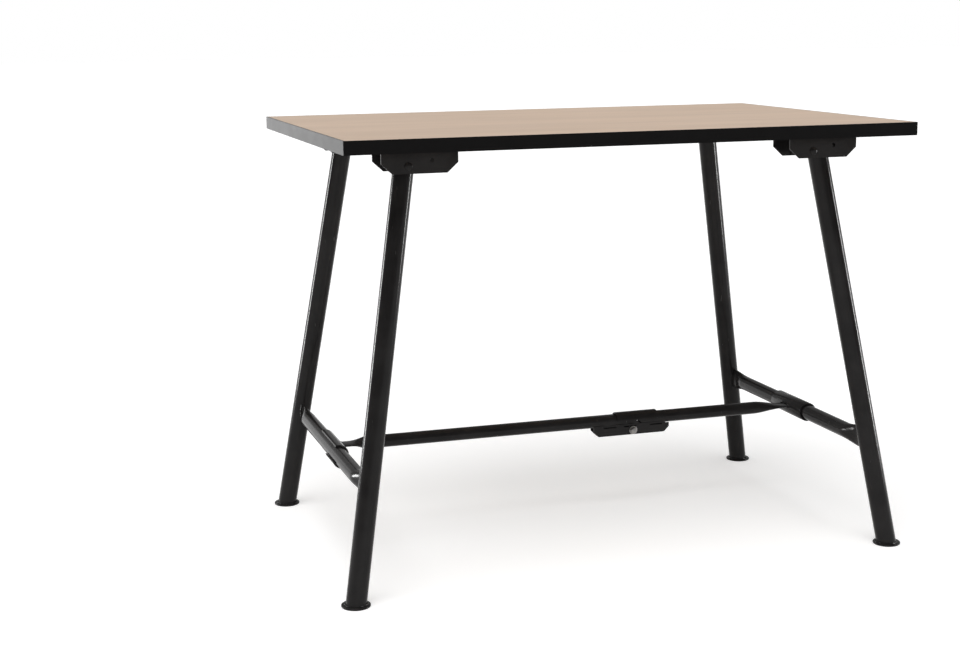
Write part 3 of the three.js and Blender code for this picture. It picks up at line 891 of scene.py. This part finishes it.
hook_profile = [(-HEEL_END, SLEEVE_RADIUS), (SLEEVE_HALF, SLEEVE_RADIUS),
                (SLEEVE_HALF, SLEEVE_BORE), (-HEEL_END, SLEEVE_BORE)]
bm = bmesh.new()
turned(bm, hook_profile, bar["left"], DEPTHWISE, HOOK_SIDES, looped=True)
hook_mesh = mesh_from(bm, "hook")
hook = set_down("left_brace_hook_shell", hook_mesh, "left_brace", "black_paint", "left_brace_hook")
reach = SLEEVE_RADIUS + OVERCUT
outside, lips, inside = (bar["left"].x + offset for offset in (-reach, -HOOK_SKIRT, reach))
below, ledge, above_bar = (bar["left"].z + offset for offset in (-reach, -HEEL_DROP, reach))
front, back = -HEEL_END - OVERCUT, SLEEVE_HALF + OVERCUT
for outline, low_y, high_y in (
        (box_outline(outside, lips, below, above_bar), -HEEL_START, back),
        (box_outline(outside, lips, ledge, above_bar), front, back),
        (box_outline(outside, inside, ledge, above_bar), front, -SLEEVE_HALF)):
    cutter = bmesh.new()
    add_prism(cutter, outline, low_y, high_y)
    cut_away(hook, cutter)
soften(hook, HOOK_EDGE)
print("hook: heel up to", HEEL_END / MM, "mm from the brace")

# %% [markdown]
# ## Brace tubes
# Each half of the brace is a tube, pressed flat and wide where it is welded to its hook
# or sleeve, and open where the halves meet in the lock. There both ends are cut on the
# slant, so that each ring is leant over by its own height. The flat end follows the round
# it is welded to, so its last ring is projected onto that round before the bead is laid.

# %% Helpers for the brace tubes
tube_low, tube_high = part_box("left_brace_tube")
saddle_low, saddle_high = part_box("brace_lock_saddle")
BRACE_LEVEL = (tube_low.z + tube_high.z) / 2
LOCK_X = (saddle_low.x + saddle_high.x) / 2
MITRE_SLOPE = math.tan(math.radians(42))


def sleeve_face(end, z):
    return bar[end].x - ENDS[end] * math.sqrt(SLEEVE_RADIUS ** 2 - (z - bar[end].z) ** 2)


def brace_ring(x, wide, tall, sides=BAR_SIDES):
    return [Vector((x, wide * math.cos(a), BRACE_LEVEL + tall * math.sin(a))) for a in circle(sides)]


def on_sleeve(end, ring):
    return [Vector((sleeve_face(end, point.z), point.y, point.z)) for point in ring]


def mitred_ring(x, radius):
    ring = []
    for a in circle(BAR_SIDES):
        rise = radius * math.sin(a)
        ring.append(Vector((x - rise / MITRE_SLOPE, radius * math.cos(a), BRACE_LEVEL + rise)))
    return ring


print("brace level", round(BRACE_LEVEL, 4), "lock at", round(LOCK_X, 4))

# %% Brace tubes and their welds
BRACE_RADIUS = 14 * MM
BRACE_BORE = 12 * MM
FLAT_HALF = (21 * MM, 3.5 * MM)
FLAT_RUN = {"left": SLEEVE_RADIUS + 18 * MM, "right": SLEEVE_RADIUS + 6 * MM}
FLAT_TAPER = {"left": 40 * MM, "right": 78 * MM}
LOCK_HALF_GAP = 1.5 * MM
MOUTH_EDGE = 0.5 * MM
MOUTH_EASE = 0.6 * MM
BORE_DEPTH = 60 * MM
BRACE_SEAM_HALF = (21.6 * MM, 4.1 * MM)
BRACE_SEAM_SIDES = 170
BRACE_BEAD = 1.9 * MM

for end in ENDS:
    inward = -ENDS[end]
    mouth = LOCK_X - inward * LOCK_HALF_GAP
    rings = [on_sleeve(end, brace_ring(0, *FLAT_HALF))]
    for k in range(BLEND_STEPS + 1):
        x = bar[end].x + inward * (FLAT_RUN[end] + FLAT_TAPER[end] * k / BLEND_STEPS)
        rings.append(brace_ring(x, *pressed(FLAT_HALF, BRACE_RADIUS, k / BLEND_STEPS)))
    rings.append(mitred_ring(mouth - inward * MOUTH_EASE, BRACE_RADIUS))
    rings.append(mitred_ring(mouth, BRACE_RADIUS - MOUTH_EDGE))
    rings.append(mitred_ring(mouth, BRACE_BORE))
    rings.append(mitred_ring(mouth - inward * BORE_DEPTH, BRACE_BORE))
    bm = bmesh.new()
    skin(bm, rings)
    solid = f"{end}_brace_tube"
    set_down(solid + "_pressed", mesh_from(bm, solid), f"{end}_brace", "black_paint", solid)
    seam = on_sleeve(end, brace_ring(0, *BRACE_SEAM_HALF, BRACE_SEAM_SIDES))
    bm = bmesh.new()
    weld_bead(bm, seam, LENGTHWISE, BRACE_BEAD)
    name = f"{end}_sleeve_weld"
    set_down(name, mesh_from(bm, name), f"{end}_brace", "black_paint")
    print(end, "brace half ends at", round(mouth, 4))

# %% [markdown]
# ## The brace lock
# Where the halves meet, a narrow folded cradle lies under both tube ends and a half-round
# saddle lies over them. The cradle is another folded channel, turned to open upwards. Its
# cheeks are cut to the round of the tube, so the cutter is that round, a little larger.
# Thin slots in the front cheek part the short welds along the seam, and one plated bolt
# goes through below.

# %% Lock cradle
LOCK_PLATE = 3 * MM
CRADLE_LIP = BRACE_LEVEL - 8 * MM
CRADLE_BEND = 4.5 * MM
cradle_low, cradle_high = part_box("brace_lock_cradle")
CRADLE_LOW, CRADLE_HIGH = cradle_low.x, cradle_high.x
CRADLE_HALF_WIDTH = cradle_high.y
CRADLE_BOTTOM = cradle_low.z

bm = folded_channel(CRADLE_LOW, CRADLE_HIGH, 0.0, CRADLE_HALF_WIDTH,
                    CRADLE_BOTTOM, CRADLE_LIP, LOCK_PLATE, CRADLE_BEND)
cradle = set_down("brace_lock_cradle_channel", mesh_from(bm, "cradle"), "left_brace", "black_paint",
                  "brace_lock_cradle")
print("lock cradle:", round((CRADLE_HIGH - CRADLE_LOW) / MM), "mm long")

# %% Cut corners, slots and the tube's seat
CRADLE_CORNER = 13 * MM
CRADLE_EDGE = 0.4 * MM
NOTCH_LENGTH = 12 * MM
NOTCH_LEVEL = BRACE_LEVEL - 13.2 * MM
LOCK_HOLE = 4.3 * MM
LOCK_BOLT_X = (CRADLE_LOW + CRADLE_HIGH) / 2 + 3.5 * MM
LOCK_BOLT_LEVEL = BRACE_LEVEL - 24 * MM
SLOT_HALF_LENGTH = 15 * MM
SLOT_HALF_HEIGHT = 1.25 * MM
SLOT_LEVEL = BRACE_LEVEL - 14.5 * MM
SLOT_PLACES = [LOCK_BOLT_X + offset * MM for offset in (-56, -7, 56)]
SEAT_SIDES = 64

cutter = bmesh.new()
wide_y = CRADLE_HALF_WIDTH + OVERCUT
for tip_x, way in ((CRADLE_LOW, -1), (CRADLE_HIGH, 1)):
    tip = tip_x + way * OVERCUT
    add_prism(cutter, [
        (tip, CRADLE_BOTTOM + CRADLE_CORNER + OVERCUT), (tip, CRADLE_BOTTOM - OVERCUT),
        (tip - way * (CRADLE_CORNER + 2 * OVERCUT), CRADLE_BOTTOM - OVERCUT)], -wide_y, wide_y)
for slot_x in SLOT_PLACES:
    slot = box_outline(slot_x - SLOT_HALF_LENGTH, slot_x + SLOT_HALF_LENGTH,
                       SLOT_LEVEL - SLOT_HALF_HEIGHT, SLOT_LEVEL + SLOT_HALF_HEIGHT)
    add_prism(cutter, slot, -wide_y, 0)
add_pin(cutter, LOCK_BOLT_X, LOCK_BOLT_LEVEL, -wide_y, wide_y, LOCK_HOLE)
notch = box_outline(CRADLE_HIGH - NOTCH_LENGTH, CRADLE_HIGH + OVERCUT, NOTCH_LEVEL, BRACE_LEVEL)
add_prism(cutter, notch, -wide_y, wide_y)
cut_away(cradle, cutter)
cutter = bmesh.new()
seat_length = CRADLE_HIGH - CRADLE_LOW + 2 * OVERCUT
seat_round = [(0.0, BRACE_RADIUS + FIT), (seat_length, BRACE_RADIUS + FIT)]
seat_start = Vector((CRADLE_LOW - OVERCUT, 0, BRACE_LEVEL))
turned(cutter, seat_round, seat_start, LENGTHWISE, SEAT_SIDES)
cut_away(cradle, cutter)
soften(cradle, CRADLE_EDGE)
print("lock cradle:", len(cradle.data.polygons), "faces")

# %% Short welds along the cradle
SEAM_LEVEL = BRACE_LEVEL - math.sqrt(BRACE_RADIUS ** 2 - CRADLE_HALF_WIDTH ** 2)
STITCH_INSET = 3 * MM
STITCH_STEPS = 40
STITCH_BEAD = 1.5 * MM
STITCH_Y = CRADLE_HALF_WIDTH + 0.2 * MM

stitches = [(CRADLE_LOW + STITCH_INSET, SLOT_PLACES[0] - SLOT_HALF_LENGTH),
            (SLOT_PLACES[0] + SLOT_HALF_LENGTH, SLOT_PLACES[1] - SLOT_HALF_LENGTH)]
bm = bmesh.new()
for face in (-1, 1):
    for low_x, high_x in stitches:
        places = [low_x + (high_x - low_x) * k / STITCH_STEPS for k in range(STITCH_STEPS + 1)]
        seam = [Vector((x, face * STITCH_Y, SEAM_LEVEL)) for x in places]
        weld_bead(bm, seam, UPRIGHT, STITCH_BEAD, closed=False)
set_down("cradle_stitch_welds", mesh_from(bm, "cradle_stitch_welds"), "left_brace", "black_paint")
print("cradle stitches:", 2 * len(stitches))

# %% Lock saddle
SADDLE_EDGE = 0.6 * MM
LOCK_INNER = 14.5 * MM
LOCK_OUTER = LOCK_INNER + LOCK_PLATE
SADDLE_STEPS = 28


def saddle_ring(x):
    lift = BRACE_LEVEL + FIT
    swings = [math.pi * k / SADDLE_STEPS for k in range(SADDLE_STEPS + 1)]
    outer = [(LOCK_OUTER * math.cos(a), lift + LOCK_OUTER * math.sin(a)) for a in swings]
    inner = [(LOCK_INNER * math.cos(a), lift + LOCK_INNER * math.sin(a)) for a in reversed(swings)]
    return [Vector((x, y, z)) for y, z in outer + inner]


bm = bmesh.new()
skin(bm, [saddle_ring(saddle_low.x), saddle_ring(saddle_high.x)])
saddle = set_down("brace_lock_saddle_shell", mesh_from(bm, "saddle"), "right_brace", "black_paint",
                  "brace_lock_saddle")
soften(saddle, SADDLE_EDGE)
print("lock saddle:", round((saddle_high.x - saddle_low.x) / MM), "mm long")

# %% Lock bolt with its washer, and the nut
WASHER = [(0.0, 9.2), (0.25, 9.5), (1.35, 9.5), (1.6, 9.2)]
WASHER_SIDES = 48
WASHER_THICK = 1.6 * MM
LOCK_ACROSS = 13 * MM
LOCK_HEAD_THICK = 5.5 * MM
LOCK_NUT_THICK = 6.5 * MM
LOCK_NUT_HOLE = [(6.5, 4.8), (6.0, 4.2), (0.0, 4.2)]
LOCK_SHANK = 4 * MM
LOCK_TIP = 3.2 * MM
LOCK_TIP_LENGTH = 0.8 * MM
LOCK_TUCK = 1 * MM
PAST_CRADLE = 10.5 * MM

lock_face = CRADLE_HALF_WIDTH + FIT
out = -DEPTHWISE
seat = Vector((LOCK_BOLT_X, -lock_face, LOCK_BOLT_LEVEL))
bm = bmesh.new()
turned(bm, to_metres(WASHER), seat, out, WASHER_SIDES)
skin(bm, hexagon_rings(seat + out * WASHER_THICK, out, LOCK_ACROSS, LOCK_HEAD_THICK))
shank_end = -2 * lock_face - PAST_CRADLE
shank = [(shank_end, LOCK_TIP), (shank_end + LOCK_TIP_LENGTH, LOCK_SHANK), (LOCK_TUCK, LOCK_SHANK)]
turned(bm, shank, seat, out, BOLT_SIDES)
set_down("brace_lock_bolt_hex", mesh_from(bm, "lock_bolt"), "left_brace", "zinc", "brace_lock_bolt")
bm = bmesh.new()
nut_seat = Vector((LOCK_BOLT_X, lock_face, LOCK_BOLT_LEVEL))
bored_nut(bm, nut_seat, -out, LOCK_ACROSS, LOCK_NUT_THICK, LOCK_NUT_HOLE)
set_down("brace_lock_nut_hex", mesh_from(bm, "lock_nut"), "left_brace", "zinc", "brace_lock_nut")
print("lock: cradle, saddle, bolt with washer, nut")

# %% [markdown]
# ## Floor and room
# The bench stands on a plain pale floor that runs to the horizon. The floor takes soft
# shadows, and to the camera and in reflections it also gives some light of its own, so
# that it reads as white paper. The world is white to the camera and lights the bench
# gently. In reflections it is grey behind the bench and darker in front, like a studio
# with dimmed screens at the back.

# %% Pale floor
FLOOR_REACH = 40.0
FLOOR_GREY = (0.8, 0.8, 0.8, 1)
FLOOR_GLOW = 0.4

bm = bmesh.new()
for x, y in ((-1, -1), (1, -1), (1, 1), (-1, 1)):
    bm.verts.new((x * FLOOR_REACH, y * FLOOR_REACH, 0))
bm.faces.new(bm.verts)
floor = bpy.data.objects.new("floor", mesh_from(bm, "floor"))
bpy.context.scene.collection.objects.link(floor)
paper = bpy.data.materials.new("pale_floor")
paper.use_nodes = True
tree = paper.node_tree
tree.nodes.clear()
light_path = add_node(tree, "ShaderNodeLightPath")
diffuse = add_node(tree, "ShaderNodeBsdfDiffuse")
diffuse.inputs["Color"].default_value = FLOOR_GREY
glow = add_node(tree, "ShaderNodeEmission")
to_camera = light_path.outputs["Is Camera Ray"]
seen = math_node(tree, "MAXIMUM", to_camera, light_path.outputs["Is Glossy Ray"])
tree.links.new(math_node(tree, "MULTIPLY", seen, FLOOR_GLOW), glow.inputs["Strength"])
both = add_node(tree, "ShaderNodeAddShader")
tree.links.new(diffuse.outputs["BSDF"], both.inputs[0])
tree.links.new(glow.outputs["Emission"], both.inputs[1])
output = add_node(tree, "ShaderNodeOutputMaterial")
tree.links.new(both.outputs["Shader"], output.inputs["Surface"])
floor.data.materials.append(paper)
print("floor reaches", FLOOR_REACH, "m each way")

# %% White world
WORLD_FILL = 0.5

world = bpy.data.worlds.new("studio")
bpy.context.scene.world = world
world.use_nodes = True
tree = world.node_tree
sky = tree.nodes["Background"]
sky.inputs["Color"].default_value = (1, 1, 1, 1)
light_path = add_node(tree, "ShaderNodeLightPath")
to_camera = light_path.outputs["Is Camera Ray"]
seen = math_node(tree, "MAXIMUM", to_camera, light_path.outputs["Is Transmission Ray"])
plain = math_node(tree, "MULTIPLY_ADD", seen, 1 - WORLD_FILL, WORLD_FILL)
way = add_node(tree, "ShaderNodeTexCoord")
split = add_node(tree, "ShaderNodeSeparateXYZ")
tree.links.new(way.outputs["Generated"], split.inputs["Vector"])
screens = ramp_node(tree, split.outputs["Y"], (0.0, 0.1), (0.4, 0.4))
change = math_node(tree, "SUBTRACT", screens, plain)
lit = math_node(tree, "MULTIPLY_ADD", light_path.outputs["Is Glossy Ray"], change, plain)
tree.links.new(lit, sky.inputs["Strength"])
print("the world is white to the camera, and fills with", WORLD_FILL)

# %% [markdown]
# ## Lamps
# A studio would hang one very large soft box overhead. A sun lamp with a wide angle
# gives the same soft shadow, and it lights the floor evenly out to the horizon, where
# an area lamp would fade. Three panels at the sides and behind draw the pale strips
# down the tubes and the sheen on the left edge. They show in reflections only.

# %% Soft lamps
SUN_STRENGTH = 1.5
SUN_ANGLE = math.radians(45)
SUN_PLACE = (-1.0, -1.4, 4.0)
PANEL_TARGET = (0, 0, 0.6)
PANELS = {  # place, width, height and watts
    "left_panel": ((-2.9, 1.9, 0.5), 0.45, 1.2, 60),
    "back_panel": ((-1.45, 4.2, 0.6), 1.6, 0.8, 4),
    "right_panel": ((3.6, -0.75, 0.5), 0.45, 1.2, 60),
}


def aim(lamp, place, target):
    bpy.context.scene.collection.objects.link(lamp)
    lamp.location = place
    lamp.rotation_euler = (Vector(target) - Vector(place)).to_track_quat("-Z", "Y").to_euler()


soft_box = bpy.data.lights.new("soft_box", "SUN")
soft_box.energy = SUN_STRENGTH
soft_box.angle = SUN_ANGLE
aim(bpy.data.objects.new("soft_box", soft_box), SUN_PLACE, (0, 0, 0))
for name, (place, wide, tall, watts) in PANELS.items():
    panel_light = bpy.data.lights.new(name, "AREA")
    panel_light.shape = "RECTANGLE"
    panel_light.size = wide
    panel_light.size_y = tall
    panel_light.energy = watts
    lamp = bpy.data.objects.new(name, panel_light)
    lamp.visible_camera = False
    lamp.visible_diffuse = False
    aim(lamp, place, PANEL_TARGET)
print("lamps: one wide soft box,", len(PANELS), "panels")

# %% [markdown]
# ## Camera
# The camera stands where the picture was taken: a little left of the bench and just
# above the top. Its place and lens were found by matching the corners of the top and
# the feet, so the bench can be compared with the picture line by line.

# %% Camera at the picture's view
PICTURE_WIDTH = 960
FOCAL_PIXELS = 1621.59
SENSOR_WIDTH = 36.0
TURN, TILT, ROLL = 0.30176, -0.18814, -0.01033
CAMERA_PLACE = (-1.24803, -3.3127, 1.13524)

ahead = Vector((math.sin(TURN) * math.cos(TILT), math.cos(TURN) * math.cos(TILT), math.sin(TILT)))
right = Vector((math.cos(TURN), -math.sin(TURN), 0))
up = right.cross(ahead)
rolled_right = right * math.cos(ROLL) + up * math.sin(ROLL)
rolled_up = up * math.cos(ROLL) - right * math.sin(ROLL)
lens = bpy.data.cameras.new("camera")
lens.sensor_fit = "HORIZONTAL"
lens.sensor_width = SENSOR_WIDTH
lens.lens = SENSOR_WIDTH * FOCAL_PIXELS / PICTURE_WIDTH
camera = bpy.data.objects.new("camera", lens)
bpy.context.scene.collection.objects.link(camera)
camera.matrix_world = Matrix.Translation(CAMERA_PLACE) @ Matrix(
    (rolled_right, rolled_up, -ahead)).transposed().to_4x4()
bpy.context.scene.camera = camera
bpy.context.scene.view_settings.view_transform = "Standard"
print("camera lens", round(lens.lens, 2), "mm")
